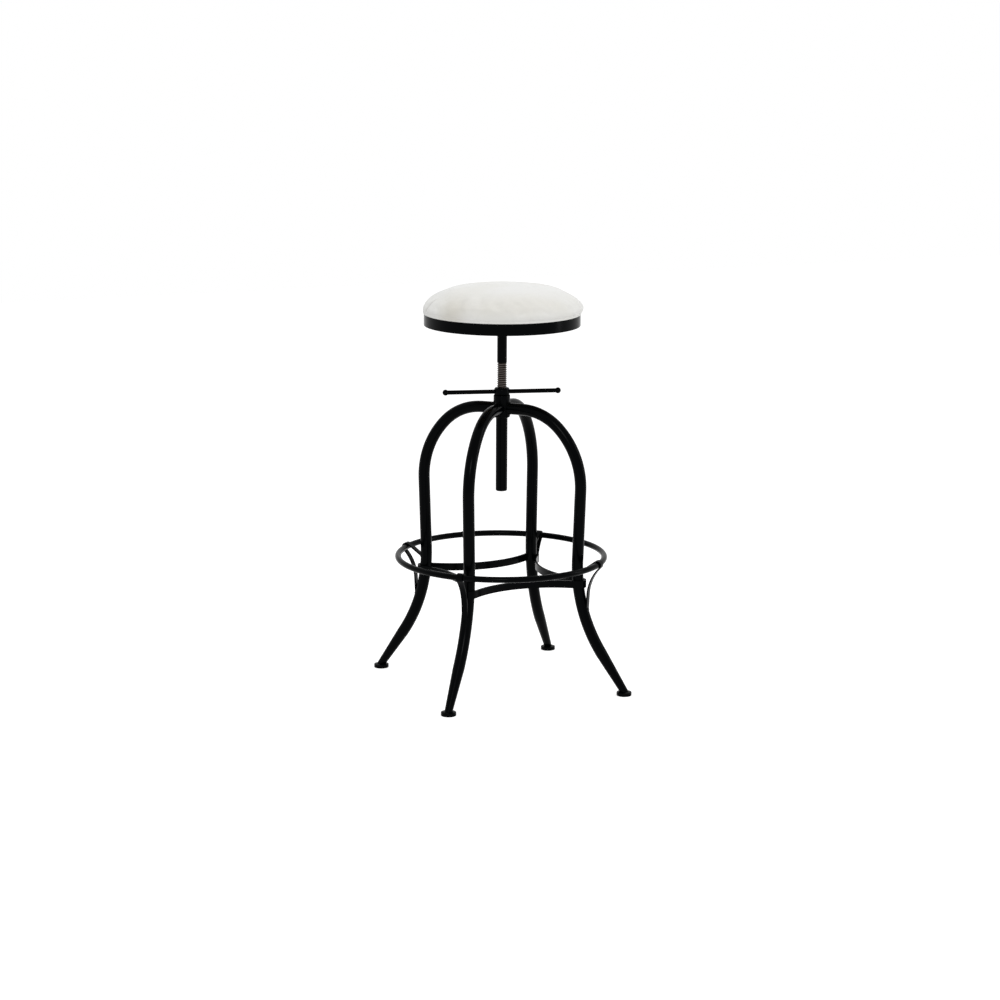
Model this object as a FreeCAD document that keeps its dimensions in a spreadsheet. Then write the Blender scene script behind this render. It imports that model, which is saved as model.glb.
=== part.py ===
import FreeCAD, Part
import math
import os
import re

import Sketcher
from FreeCAD import Placement, Rotation, Vector

# Driving sizes: lengths in millimetres, angles in degrees
SIZES = {
    # Hub, the bush pressed into it and the guard tube below it
    "hub_bottom": 632,
    "hub_length": 53,
    "hub_diameter": 38.5,
    "hub_edge": 3,
    "bush_diameter": 27.5,
    "guard_socket": 10,
    "guard_length": 169.5,
    "guard_diameter": 26.9,
    "guard_wall": 1.5,
    "cap_thickness": 4,
    "cap_rounding": 3,
    "cap_plug": 10,
    # Screw spindle and what holds its lower end
    "thread_diameter": 22,
    "thread_clearance": 0.1,
    "thread_above_hub": 74.6,
    "thread_below_top": 150.5,
    "shank_diameter": 22.6,
    "spindle_chamfer": 1.5,
    "stop_thickness": 2,
    "stop_clearance": 0.3,
    "stop_screw_diameter": 6,
    "stop_screw_depth": 14,
    "stop_head_diameter": 11,
    "stop_head_height": 3,
    # Lock nut with its two handles
    "lock_diameter": 35.5,
    "lock_height": 16.5,
    "lock_rounding": 5,
    "lock_edge": 2.5,
    "handle_height": 6.6,
    "handle_diameter": 10,
    "handle_socket": 4,
    "handle_reach": 138,
    "handle_angle": -14,
    "knob_diameter": 14,
    # Legs: level at the hub, bent down over two radii, then flared out to a tapered toe
    "leg_diameter": 26.9,
    "leg_wall": 2,
    "leg_rise": 21,
    "leg_start": 9,
    "shoulder_start": 50,
    "shoulder_radius": 127,
    "shoulder_angle": 45,
    "side_radius": 193,
    "side_angle": 1.9,
    "flare_radius": 360,
    "toe_angle": 34,
    "toe_drop": 84.5,
    "toe_diameter": 17.5,
    # Foot pads
    "pad_diameter": 35,
    "pad_height": 9.5,
    "pad_rim": 8.2,
    "pad_top": 24,
    "pad_rounding": 1.2,
    # Foot ring and its strap brackets
    "ring_height": 303.3,
    "ring_standoff": 50,
    "ring_rod": 14,
    "strap_width": 14,
    "strap_thickness": 3.5,
    "strap_clearance": 0.1,
    "upper_arm_drop": 18,
    "lower_arm_angle": 46,
    "lower_arm_drop": 52,
    "lower_arm_run": 2,
    "lower_arm_lean": 3,
    "lower_arm_overrun": 20,
    # Stretchers between the legs
    "stretcher_drop": 47.3,
    "stretcher_depth": 17.5,
    "stretcher_thickness": 4.2,
    "stretcher_inset": 107,
    "stretcher_clearance": 0.25,
    # Seat: rim, board, plate and cushion
    "seat_rise": 161.5,
    "band_height": 26.5,
    "band_wall": 2.5,
    "band_flange": 20,
    "band_edge": 0.8,
    "seat_diameter": 360,
    "board_thickness": 12,
    "board_clearance": 0.5,
    "plate_width": 130,
    "plate_thickness": 5,
    "plate_corner": 14,
    "screw_circle": 140,
    "screw_diameter": 4.5,
    "screw_clearance": 0.1,
    "screw_length": 14,
    "screw_head_diameter": 9,
    "screw_head_height": 3,
    "piping_diameter": 4.5,
    "piping_clearance": 0.2,
    "cushion_overhang": 3,
    "cushion_side": 12,
    "cushion_shoulder": 32,
    "cushion_height": 72.5,
}

# Sizes that follow from the driving ones; the legs' straight sides take up what height is left
WORKED_OUT = {
    "hub_top": "=hub_bottom + hub_length",
    "guard_top": "=hub_bottom + guard_socket",
    "guard_bottom": "=hub_bottom - guard_length",
    "spindle_bottom": "=hub_top - thread_below_top",
    "shank_bottom": "=hub_top + thread_above_hub",
    "band_bottom": "=hub_top + seat_rise",
    "band_top": "=band_bottom + band_height",
    "board_bottom": "=band_bottom + band_wall",
    "plate_bottom": "=board_bottom - plate_thickness",
    "leg_height": "=hub_bottom + leg_rise",
    "side_turn": "=90 + side_angle - shoulder_angle",
    "flare_turn": "=side_angle + toe_angle",
    "flare_drop": "=flare_radius * (sin(side_angle * 1deg) + sin(toe_angle * 1deg))",
    "flare_height": "=pad_height + toe_drop + flare_drop",
    "shoulder_drop": "=shoulder_radius * (1 - cos(shoulder_angle * 1deg))",
    "side_drop": "=side_radius * (cos(shoulder_angle * 1deg) + sin(side_angle * 1deg))",
    "side_run": "=(leg_height - shoulder_drop - side_drop - flare_height) / cos(side_angle * 1deg)",
    "shoulder_reach": "=shoulder_start + (shoulder_radius - side_radius) * sin(shoulder_angle * 1deg)",
    "side_reach": "=shoulder_reach + side_radius * cos(side_angle * 1deg)",
    "flare_reach": "=side_reach - side_run * sin(side_angle * 1deg)",
    "flare_centre_reach": "=flare_reach + flare_radius * cos(side_angle * 1deg)",
    "flare_centre_height": "=flare_height - flare_radius * sin(side_angle * 1deg)",
    "leg_at_ring": "=flare_centre_reach - sqrt(flare_radius ^ 2 - (flare_centre_height - ring_height) ^ 2)",
    "ring_radius": "=leg_at_ring + ring_standoff",
    "stretcher_height": "=ring_height - stretcher_drop",
    "lower_arm_seat": "=stretcher_height - lower_arm_drop",
}

RIGHT_ANGLE = 90
HALF_TURN = 180
FULL_TURN = 360

# Legs stand at even spacing about the upright axis, with a bar between each leg and the next
CORNERS = ("back_right", "back_left", "front_left", "front_right")
SIDES = ("right", "back", "left", "front")
LEG_SPACING = FULL_TURN / len(CORNERS)
SCREW_COUNT = 4
SCREW_SPACING = FULL_TURN / SCREW_COUNT

UP = Vector(0, 0, 1)
ON_AXIS = "0"
CLOSE = 1e-4

# How a sketch numbers its own axes and the points of a line or arc
ACROSS_AXIS, UP_AXIS = -1, -2
START, END, CENTRE = 1, 2, 3
ORIGIN = (ACROSS_AXIS, START)

doc = FreeCAD.newDocument("BarStool")
sheet = doc.addObject("Spreadsheet::Sheet", "Sizes")
for row, (alias, content) in enumerate({**SIZES, **WORKED_OUT}.items(), 1):
    sheet.set(f"A{row}", alias)
    sheet.set(f"B{row}", str(content))
    sheet.setAlias(f"B{row}", alias)
doc.recompute()


def value(formula):
    """The number that a sum of named sizes gives."""
    return sheet.evalExpression(formula)


def named(formula):
    """The same sum as other objects write it, with the sheet before each size."""
    return re.sub(r"[a-z_]+", r"Sizes.\g<0>", formula)


def bind(owner, **formulas):
    """Binds properties of an object to sums of named sizes."""
    for property_name, formula in formulas.items():
        owner.setExpression(property_name, named(formula))


def lift(owner, formula):
    """Binds the height at which an object stands."""
    owner.setExpression("Placement.Base.z", named(formula))


def constrain(sketch, kind, *where, size):
    """Adds a sketch constraint whose value is bound to a sum of named sizes."""
    number = math.radians(value(size)) if kind == "Angle" else value(size)
    index = sketch.addConstraint(Sketcher.Constraint(kind, *where, number))
    sketch.setExpression(f"Constraints[{index}]", named(size))


def new_body(name):
    """A body whose label names the piece."""
    body = doc.addObject("PartDesign::Body", name)
    body.Label = name
    return body


def origin_feature(body, role):
    """The plane or axis of a body's own origin that has this role."""
    return next(feature for feature in body.Origin.OriginFeatures if feature.Role == role)


def new_sketch(body, role, name):
    """A sketch on one of the body's origin planes."""
    sketch = body.newObject("Sketcher::SketchObject", name)
    sketch.AttachmentSupport = [(origin_feature(body, role), "")]
    sketch.MapMode = "FlatFace"
    return sketch


def place_point(sketch, line, end, across, up):
    """Binds one end of a sketch line to its two distances from the origin."""
    for kind, axis, formula in (("DistanceX", UP_AXIS, across), ("DistanceY", ACROSS_AXIS, up)):
        if formula == ON_AXIS:
            sketch.addConstraint(Sketcher.Constraint("PointOnObject", line, end, axis))
        else:
            constrain(sketch, kind, *ORIGIN, line, end, size=formula)


def join_corners(sketch, points):
    """Draws straight lines from corner to corner and back to the first."""
    count = len(points)
    for index, point in enumerate(points):
        sketch.addGeometry(Part.LineSegment(point, points[(index + 1) % count]))
    for index in range(count):
        sketch.addConstraint(Sketcher.Constraint("Coincident", index, END, (index + 1) % count, START))


def closed_outline(sketch, corners):
    """Draws straight lines through corners, each a pair of sums of named sizes, and binds them."""
    join_corners(sketch, [Vector(value(across), value(up), 0) for across, up in corners])
    for index, (across, up) in enumerate(corners):
        place_point(sketch, index, START, across, up)


def turned(body, sketch):
    """Revolves a sketch of radius and height about the upright axis."""
    solid = body.newObject("PartDesign::Revolution", "Turned")
    solid.Profile = sketch
    solid.ReferenceAxis = (sketch, ["V_Axis"])
    solid.Angle = FULL_TURN


def turned_body(name, corners):
    """A piece turned about the upright axis."""
    body = new_body(name)
    sketch = new_sketch(body, "XZ_Plane", "Section")
    closed_outline(sketch, corners)
    turned(body, sketch)
    return body


def is_rim(edge, radius, height):
    """Whether an edge is a full circle of this radius about the upright axis, at this height."""
    if not isinstance(edge.Curve, Part.Circle):
        return False
    return abs(edge.Curve.Radius - radius) < CLOSE and abs(edge.Curve.Center.z - height) < CLOSE


def rounded(body, size, radius, *heights):
    """Rounds the rims of a turned body that have a radius and stand at these heights."""
    doc.recompute()
    base = body.Tip
    rims = []
    for height in heights:
        for index, edge in enumerate(base.Shape.Edges, 1):
            if is_rim(edge, value(radius), value(height)):
                rims.append(f"Edge{index}")
    fillet = body.newObject("PartDesign::Fillet", "Rounding")
    fillet.Base = (base, rims)
    bind(fillet, Radius=size)


class Route:
    """A flat line of straight runs and tangent arcs, followed from its start."""

    def __init__(self, start, heading):
        self.point = start
        self.heading = math.radians(heading)
        self.pieces = []
        self.stations = [(start, self.heading)]

    def left(self):
        """Unit vector to the left of the present heading."""
        return Vector(-math.sin(self.heading), math.cos(self.heading), 0)

    def ahead(self):
        """Unit vector along the present heading."""
        return Vector(math.cos(self.heading), math.sin(self.heading), 0)

    def run(self, length):
        """Goes straight on."""
        end = self.point + self.ahead() * length
        self.pieces.append(Part.LineSegment(self.point, end))
        self.arrive(end)

    def turn(self, radius, angle):
        """Follows an arc; a positive angle, in degrees, turns left."""
        side = math.copysign(1, angle)
        centre = self.point + self.left() * side * radius
        start = self.point
        self.heading += math.radians(angle)
        end = centre - self.left() * side * radius
        first, last = (start, end) if side > 0 else (end, start)
        self.pieces.append(arc_about(centre, first, last))
        self.arrive(end)

    def arrive(self, point):
        """Notes the end of a piece."""
        self.point = point
        self.stations.append((point, self.heading))


def arc_about(centre, start, end):
    """The counter-clockwise arc about a centre between two points."""
    first, last = [math.atan2(point.y - centre.y, point.x - centre.x) for point in (start, end)]
    if last < first:
        last += 2 * math.pi
    return Part.ArcOfCircle(Part.Circle(centre, UP, (start - centre).Length), first, last)


def shared_ends(first, second):
    """Which ends of two pieces meet, as sketch vertex numbers."""
    pairs = []
    for one, point in ((START, first.StartPoint), (END, first.EndPoint)):
        for other, near in ((START, second.StartPoint), (END, second.EndPoint)):
            pairs.append(((point - near).Length, one, other))
    return min(pairs)[1:]


def route_sketch(body, role, route):
    """A sketch of a route, each piece tangent to the one before."""
    sketch = new_sketch(body, role, "Route")
    for piece in route.pieces:
        sketch.addGeometry(piece)
    for index in range(len(route.pieces) - 1):
        one, other = shared_ends(route.pieces[index], route.pieces[index + 1])
        sketch.addConstraint(Sketcher.Constraint("Tangent", index, one, index + 1, other))
    return sketch


def swept(body, profile, route):
    """Sweeps a profile along a route."""
    pipe = body.newObject("PartDesign::AdditivePipe", "Sweep")
    pipe.Profile = profile
    pipe.Spine = route
    return pipe


def rectangle(sketch, width, height):
    """A rectangle about the sketch's origin, its sides bound to named sizes."""
    across, up = value(width) / 2, value(height) / 2
    corners = [Vector(-across, -up), Vector(across, -up), Vector(across, up), Vector(-across, up)]
    join_corners(sketch, corners)
    for index in range(len(corners)):
        kind = "Vertical" if index % 2 else "Horizontal"
        sketch.addConstraint(Sketcher.Constraint(kind, index))
    lower, side = 0, 1
    sketch.addConstraint(Sketcher.Constraint("Symmetric", lower, START, side, END, *ORIGIN))
    constrain(sketch, "DistanceX", lower, START, lower, END, size=width)
    constrain(sketch, "DistanceY", side, START, side, END, size=height)


def cylinder(name, radius, height, level, place=Vector()):
    """An upright cylinder at a place in plan, its bottom at a bound height."""
    solid = doc.addObject("Part::Cylinder", name)
    bind(solid, Radius=radius, Height=height)
    solid.Placement = Placement(place, Rotation())
    lift(solid, level)
    return solid


def make_hub():
    """The sleeve that the legs are welded to, and the threaded bush pressed into it."""
    inner, outer = "bush_diameter / 2", "hub_diameter / 2"
    corners = [(inner, "0"), (outer, "0"), (outer, "hub_length"), (inner, "hub_length")]
    hub = turned_body("hub_sleeve", corners)
    rounded(hub, "hub_edge", outer, "0", "hub_length")
    lift(hub, "hub_bottom")
    bore = "thread_diameter / 2 + thread_clearance"
    length = "hub_length - guard_socket"
    corners = [(bore, "0"), (inner, "0"), (inner, length), (bore, length)]
    bush = turned_body("thread_bush", corners)
    lift(bush, "guard_top")
    return [hub, bush]


def make_guard():
    """The guard tube under the hub, open inside for the spindle, and the cap in its end."""
    outer, inner = "guard_diameter / 2", "guard_diameter / 2 - guard_wall"
    length = "guard_top - guard_bottom"
    guard = doc.addObject("Part::Cut", "guard_tube")
    guard.Base = cylinder("GuardOutside", outer, length, "guard_bottom")
    guard.Tool = cylinder("GuardInside", inner, length, "guard_bottom")
    guard.Label = "guard_tube"
    step, top = "cap_thickness", "cap_thickness + cap_plug"
    corners = [("0", "0"), (outer, "0"), (outer, step), (inner, step), (inner, top), ("0", top)]
    cap = turned_body("guard_tube_cap", corners)
    rounded(cap, "cap_rounding", outer, "0")
    lift(cap, "guard_bottom - cap_thickness")
    return [guard, cap]


def make_spindle():
    """The spindle: bare thread below, plain shank above, with a blind hole for the stop screw."""
    screw, thread, shank = "stop_screw_diameter / 2", "thread_diameter / 2", "shank_diameter / 2"
    step = "shank_bottom - spindle_bottom"
    top = "plate_bottom - spindle_bottom"
    corners = [
        (screw, "0"),
        (f"{thread} - spindle_chamfer", "0"),
        (thread, "spindle_chamfer"),
        (thread, step),
        (shank, step),
        (shank, top),
        ("0", top),
        ("0", "stop_screw_depth"),
        (screw, "stop_screw_depth"),
    ]
    spindle = turned_body("spindle", corners)
    lift(spindle, "spindle_bottom")
    return spindle


def make_stop():
    """The washer that is loose round the stop screw, and the screw under the spindle."""
    shank = "stop_screw_diameter / 2"
    hole = f"{shank} + stop_clearance"
    rim = "guard_diameter / 2 - guard_wall - stop_clearance"
    corners = [(hole, "0"), (rim, "0"), (rim, "stop_thickness"), (hole, "stop_thickness")]
    washer = turned_body("stop_washer", corners)
    lift(washer, "spindle_bottom - stop_thickness")
    head = "stop_head_diameter / 2"
    top = "stop_head_height + stop_thickness + stop_screw_depth"
    corners = [
        ("0", "0"),
        (head, "0"),
        (head, "stop_head_height"),
        (shank, "stop_head_height"),
        (shank, top),
        ("0", top),
    ]
    screw = turned_body("stop_screw", corners)
    lift(screw, "spindle_bottom - stop_thickness - stop_head_height")
    return [washer, screw]


def make_lock():
    """The lock collar on the hub, with a blind socket each side, and the two handles in them."""
    bore, rim = "thread_diameter / 2 + thread_clearance", "lock_diameter / 2"
    corners = [(bore, "0"), (rim, "0"), (rim, "lock_height"), (bore, "lock_height")]
    collar = turned_body("lock_collar", corners)
    rounded(collar, "lock_rounding", rim, "lock_height")
    rounded(collar, "lock_edge", rim, "0")
    heading = Rotation(UP, value("handle_angle"))
    collar.Placement = Placement(Vector(), heading)
    lift(collar, "hub_top")
    pieces = [collar]
    for side, lean in (("left", -RIGHT_ANGLE), ("right", RIGHT_ANGLE)):
        outward = Rotation(Vector(0, 1, 0), lean)
        start = outward.multVec(UP) * value(f"{rim} - handle_socket")
        socket = collar.newObject("PartDesign::SubtractiveCylinder", f"Socket_{side}")
        bind(socket, Radius="handle_diameter / 2", Height="handle_socket + lock_rounding")
        socket.Placement = Placement(start + UP * value("handle_height"), outward)
        pieces.append(make_handle(side, outward, start, heading))
    return pieces


def make_handle(side, outward, start, heading):
    """Half of the T-bar: a rod from the collar's socket to its ball end."""
    rod = doc.addObject("Part::Cylinder", f"Rod_{side}")
    ball = doc.addObject("Part::Sphere", f"Knob_{side}")
    reach = "handle_reach - knob_diameter / 2"
    bind(rod, Radius="handle_diameter / 2", Height=f"{reach} - lock_diameter / 2 + handle_socket")
    bind(ball, Radius="knob_diameter / 2")
    rod.Placement = Placement(start, outward)
    ball.Placement = Placement(outward.multVec(UP) * value(reach), outward)
    handle = doc.addObject("Part::Fuse", f"lock_handle_{side}")
    handle.Base = rod
    handle.Tool = ball
    handle.Label = f"lock_handle_{side}"
    handle.Placement = Placement(Vector(), heading)
    lift(handle, "hub_top + handle_height")
    return handle


def leg_route():
    """The leg's middle line in its own upright plane, from inside the hub to the start of the toe."""
    start = value("leg_start")
    route = Route(Vector(start, value("leg_height"), 0), 0)
    route.run(value("shoulder_start") - start)
    route.turn(value("shoulder_radius"), -value("shoulder_angle"))
    route.turn(value("side_radius"), -value("side_turn"))
    route.run(value("side_run"))
    route.turn(value("flare_radius"), value("flare_turn"))
    return route


def on_flare(height, offset):
    """Point and heading, in radians, at a height on a line that runs outside the flare's middle line."""
    radius = value("flare_radius") - offset
    centre = Vector(value("flare_centre_reach"), value("flare_centre_height"))
    heading = -math.acos((centre.y - height) / radius)
    return centre + Vector(math.sin(heading), -math.cos(heading)) * radius, heading


def leg_at(height):
    """The leg's reach from the axis at a height, and its outward lean there in degrees."""
    (top, steep), (bottom, end) = leg_route().stations[-2:]
    point, heading = on_flare(min(max(height, bottom.y), top.y), 0)
    return point.x + (height - point.y) / math.tan(heading), RIGHT_ANGLE + math.degrees(heading)


def bind_leg_route(sketch):
    """Fixes the leg's route by the named sizes: ends, radii, turns and the straight run."""
    level, shoulder, side, straight, flare = range(5)
    sketch.addConstraint(Sketcher.Constraint("Horizontal", level))
    place_point(sketch, level, START, "leg_start", "leg_height")
    constrain(sketch, "DistanceX", *ORIGIN, level, END, size="shoulder_start")
    constrain(sketch, "Radius", shoulder, size="shoulder_radius")
    constrain(sketch, "Angle", shoulder, size="shoulder_angle")
    constrain(sketch, "Radius", side, size="side_radius")
    constrain(sketch, "Angle", side, size="side_turn")
    constrain(sketch, "Distance", straight, size="side_run")
    constrain(sketch, "Radius", flare, size="flare_radius")
    constrain(sketch, "Angle", flare, size="flare_turn")


def leg_section(body):
    """The tube's ring-shaped section, square to the start of the leg's route."""
    sketch = new_sketch(body, "YZ_Plane", "TubeSection")
    centre = Vector(0, value("leg_height"), 0)
    for diameter in ("leg_diameter", "leg_diameter - 2 * leg_wall"):
        circle = sketch.addGeometry(Part.Circle(centre, UP, value(diameter) / 2))
        constrain(sketch, "Diameter", circle, size=diameter)
        place_point(sketch, circle, CENTRE, ON_AXIS, "leg_height")
    sketch.setExpression("AttachmentOffset.Base.z", named("leg_start"))
    return sketch


def add_toe(body, route):
    """The last straight length, which tapers to the toe and is cut level on the foot pad."""
    end, heading = route.stations[-1]
    along = Rotation(UP, Vector(math.cos(heading), 0, math.sin(heading)))
    start = Vector(end.x, 0, end.y)
    for kind, shrink in (("Additive", ""), ("Subtractive", " - leg_wall")):
        cone = body.newObject(f"PartDesign::{kind}Cone", "Toe")
        bind(cone, Radius1=f"leg_diameter / 2{shrink}", Radius2=f"toe_diameter / 2{shrink}")
        cone.Height = (end.y - value("pad_height - toe_diameter / 2")) / -math.sin(heading)
        cone.Placement = Placement(start, along)
    reach, _ = leg_at(value("pad_height"))
    side = "3 * leg_diameter"
    below = body.newObject("PartDesign::SubtractiveBox", "LevelCut")
    bind(below, Length=side, Width=side, Height=side)
    corner = Vector(reach, 0, value("pad_height")) - Vector(1 / 2, 1 / 2, 1) * value(side)
    below.Placement = Placement(corner, Rotation())


def make_leg(corner, azimuth):
    """One leg: a bent tube, coped to the hub's round side above and cut level on its pad below."""
    body = new_body(f"leg_{corner}")
    route = leg_route()
    sketch = route_sketch(body, "XZ_Plane", route)
    bind_leg_route(sketch)
    swept(body, leg_section(body), sketch)
    add_toe(body, route)
    cope = body.newObject("PartDesign::SubtractiveCylinder", "HubCope")
    bind(cope, Radius="hub_diameter / 2", Height="2 * leg_diameter")
    cope.Placement = Placement(Vector(0, 0, value("leg_height - leg_diameter")), Rotation())
    body.Placement = Placement(Vector(), Rotation(UP, azimuth))
    return body


def make_pad(corner, azimuth):
    """A round foot pad under a leg's toe, with a sloping upper face."""
    rim, top = "pad_diameter / 2", "pad_top / 2"
    corners = [("0", "0"), (rim, "0"), (rim, "pad_rim"), (top, "pad_height"), ("0", "pad_height")]
    body = turned_body(f"foot_pad_{corner}", corners)
    rounded(body, "pad_rounding", rim, "0", "pad_rim")
    reach, _ = leg_at(value("pad_height"))
    body.Placement = Placement(Rotation(UP, azimuth).multVec(Vector(reach, 0, 0)), Rotation())
    return body


def make_ring():
    """The foot ring, a round rod bent to a circle."""
    ring = doc.addObject("Part::Torus", "foot_ring")
    ring.Label = "foot_ring"
    bind(ring, Radius1="ring_radius", Radius2="ring_rod / 2")
    lift(ring, "ring_height")
    return ring


def bracket_route():
    """The strap's middle line: up the short arm, round the rod, and down in one bow to the leg."""
    height = value("ring_height - upper_arm_drop")
    reach, _ = leg_at(height)
    start = Vector(reach + value("leg_diameter / 2 - strap_thickness"), height)
    wrap = value("(ring_rod + strap_thickness) / 2 + strap_clearance")
    to_rod = Vector(value("ring_radius"), value("ring_height")) - start
    rise = math.degrees(math.atan2(to_rod.y, to_rod.x) + math.asin(wrap / to_rod.Length))
    route = Route(start, rise)
    route.run(math.sqrt(to_rod.Length**2 - wrap**2))
    down = -HALF_TURN + value("lower_arm_angle")
    route.turn(wrap, down - rise)
    seat, _ = on_flare(value("lower_arm_seat"), value("leg_diameter / 2"))
    last = -RIGHT_ANGLE - value("lower_arm_lean")
    leave, land = math.radians(down), math.radians(last)
    gap = seat - route.point
    turn = land - leave
    to_corner = (gap.x * math.sin(land) - gap.y * math.cos(land)) / math.sin(turn)
    past_corner = (gap.y * math.cos(leave) - gap.x * math.sin(leave)) / math.sin(turn)
    taken = to_corner - value("lower_arm_run")
    route.run(value("lower_arm_run"))
    route.turn(taken / math.tan(turn / 2), last - down)
    route.run(past_corner - taken + value("lower_arm_overrun"))
    return route


def strap_section(body, route):
    """The strap's flat section, square to the start of its route."""
    sketch = new_sketch(body, "YZ_Plane", "StrapSection")
    rectangle(sketch, "strap_width", "strap_thickness")
    start, heading = route.stations[0]
    tilt = Rotation(Vector(1, 0, 0), -math.degrees(heading))
    sketch.AttachmentOffset = Placement(Vector(0, start.y, start.x), tilt)
    return sketch


def make_bracket(corner, azimuth):
    """A strap round the foot ring's rod, with both its arms coped to the leg's flare."""
    body = new_body(f"ring_bracket_{corner}")
    route = bracket_route()
    sketch = route_sketch(body, "XZ_Plane", route)
    wrap = 1
    constrain(sketch, "Radius", wrap, size="(ring_rod + strap_thickness) / 2 + strap_clearance")
    place_point(sketch, wrap, CENTRE, "ring_radius", "ring_height")
    swept(body, strap_section(body, route), sketch)
    cope = body.newObject("PartDesign::SubtractiveTorus", "LegCope")
    bind(cope, Radius1="flare_radius", Radius2="leg_diameter / 2")
    middle = Vector(value("flare_centre_reach"), 0, value("flare_centre_height"))
    cope.Placement = Placement(middle, Rotation(Vector(1, 0, 0), RIGHT_ANGLE))
    body.Placement = Placement(Vector(), Rotation(UP, azimuth))
    return body


def stretcher_route():
    """The bar's middle line in plan, from the outermost point of one leg to that of the next."""
    reach, lean = leg_at(value("stretcher_height"))
    drift = value("stretcher_depth") / 2 * math.tan(math.radians(lean))
    wrap = value("(leg_diameter + stretcher_thickness) / 2 + stretcher_clearance") + drift
    half = math.radians(LEG_SPACING / 2)
    leg = Vector(reach * math.cos(half), -reach * math.sin(half), 0)
    inset = leg.x - value("stretcher_inset")
    bow = (leg.y**2 + inset**2 - wrap**2) / (2 * (wrap + inset))
    middle = Vector(value("stretcher_inset") + bow, 0, 0)
    swing = math.degrees(math.atan2(middle.y - leg.y, middle.x - leg.x))
    outermost = leg + Vector(math.cos(half), -math.sin(half), 0) * wrap
    route = Route(outermost, RIGHT_ANGLE - LEG_SPACING / 2)
    route.turn(wrap, LEG_SPACING / 2 + swing)
    route.turn(bow, -2 * swing)
    route.turn(wrap, LEG_SPACING / 2 + swing)
    return route


def make_stretcher(side, azimuth):
    """A flat bar on edge that hooks round two legs and bows inward between them."""
    body = new_body(f"stretcher_{side}")
    route = stretcher_route()
    sketch = route_sketch(body, "XY_Plane", route)
    section = new_sketch(body, "XZ_Plane", "BarSection")
    rectangle(section, "stretcher_thickness", "stretcher_depth")
    start, _ = route.stations[0]
    square = Rotation(Vector(0, 1, 0), -LEG_SPACING / 2)
    section.AttachmentOffset = Placement(Vector(start.x, 0, -start.y), square)
    swept(body, section, sketch)
    body.Placement = Placement(Vector(), Rotation(UP, azimuth))
    lift(body, "stretcher_height")
    return body


def make_plate():
    """The square steel plate on the spindle, with a ring of screw holes."""
    body = new_body("mounting_plate")
    outline = new_sketch(body, "XY_Plane", "Outline")
    rectangle(outline, "plate_width", "plate_width")
    disc = body.newObject("PartDesign::Pad", "Plate")
    disc.Profile = outline
    bind(disc, Length="plate_thickness")
    doc.recompute()
    corners = [
        f"Edge{index}"
        for index, edge in enumerate(disc.Shape.Edges, 1)
        if abs(edge.Vertexes[0].Z - edge.Vertexes[1].Z) > value("plate_thickness / 2")
    ]
    fillet = body.newObject("PartDesign::Fillet", "Corners")
    fillet.Base = (disc, corners)
    bind(fillet, Radius="plate_corner")
    doc.recompute()
    mark = new_sketch(body, "XY_Plane", "HolePlace")
    reach, width = "screw_circle / 2", "screw_diameter + 2 * screw_clearance"
    circle = mark.addGeometry(Part.Circle(Vector(value(reach), 0, 0), UP, value(width) / 2))
    place_point(mark, circle, CENTRE, reach, ON_AXIS)
    constrain(mark, "Diameter", circle, size=width)
    mark.AttachmentOffset = Placement(Vector(), Rotation(UP, SCREW_SPACING / 2))
    doc.recompute()
    hole = body.newObject("PartDesign::Hole", "ScrewHole")
    hole.Profile = mark
    bind(hole, Diameter=width)
    hole.DepthType = "ThroughAll"
    hole.Reversed = True
    pattern = body.newObject("PartDesign::PolarPattern", "ScrewHoles")
    pattern.Originals = [hole]
    pattern.Axis = (origin_feature(body, "Z_Axis"), [""])
    pattern.Angle = FULL_TURN
    pattern.Occurrences = SCREW_COUNT
    body.Tip = pattern
    lift(body, "plate_bottom")
    return body


def screw_places():
    """Where the seat's screws stand in plan."""
    first = Vector(value("screw_circle / 2"), 0, 0)
    azimuths = [SCREW_SPACING * (index + 1 / 2) for index in range(SCREW_COUNT)]
    return [Rotation(UP, azimuth).multVec(first) for azimuth in azimuths]


def make_board():
    """The round board inside the rim, with a pilot hole over each screw."""
    board = doc.addObject("Part::Cut", "seat_board")
    board.Label = "seat_board"
    radius = "seat_diameter / 2 - band_wall - board_clearance"
    board.Base = cylinder("BoardDisc", radius, "board_thickness", "board_bottom")
    depth = "screw_length - plate_thickness + screw_clearance"
    pilot = "screw_diameter / 2 + screw_clearance"
    holes = doc.addObject("Part::MultiFuse", "PilotHoles")
    holes.Shapes = [cylinder("Pilot", pilot, depth, "board_bottom", place) for place in screw_places()]
    board.Tool = holes
    return board


def make_screws():
    """The screws that hold the plate to the board, their heads below the plate."""
    screws = []
    under = "plate_bottom - screw_head_height"
    for place in screw_places():
        screw = doc.addObject("Part::Fuse", "Screw")
        screw.Base = cylinder("Stem", "screw_diameter / 2", "screw_length", "plate_bottom", place)
        screw.Tool = cylinder("Head", "screw_head_diameter / 2", "screw_head_height", under, place)
        screws.append(screw)
    group = doc.addObject("Part::Compound", "plate_screws")
    group.Label = "plate_screws"
    group.Links = screws
    return group


def make_band():
    """The steel rim of the seat: an upright band with a flange that the board lies on."""
    outer, inner = "seat_diameter / 2", "seat_diameter / 2 - band_wall"
    lip = f"{inner} - band_flange"
    corners = [
        (lip, "0"),
        (outer, "0"),
        (outer, "band_height"),
        (inner, "band_height"),
        (inner, "band_wall"),
        (lip, "band_wall"),
    ]
    band = turned_body("seat_band", corners)
    rounded(band, "band_edge", outer, "0", "band_height")
    lift(band, "band_bottom")
    return band


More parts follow.
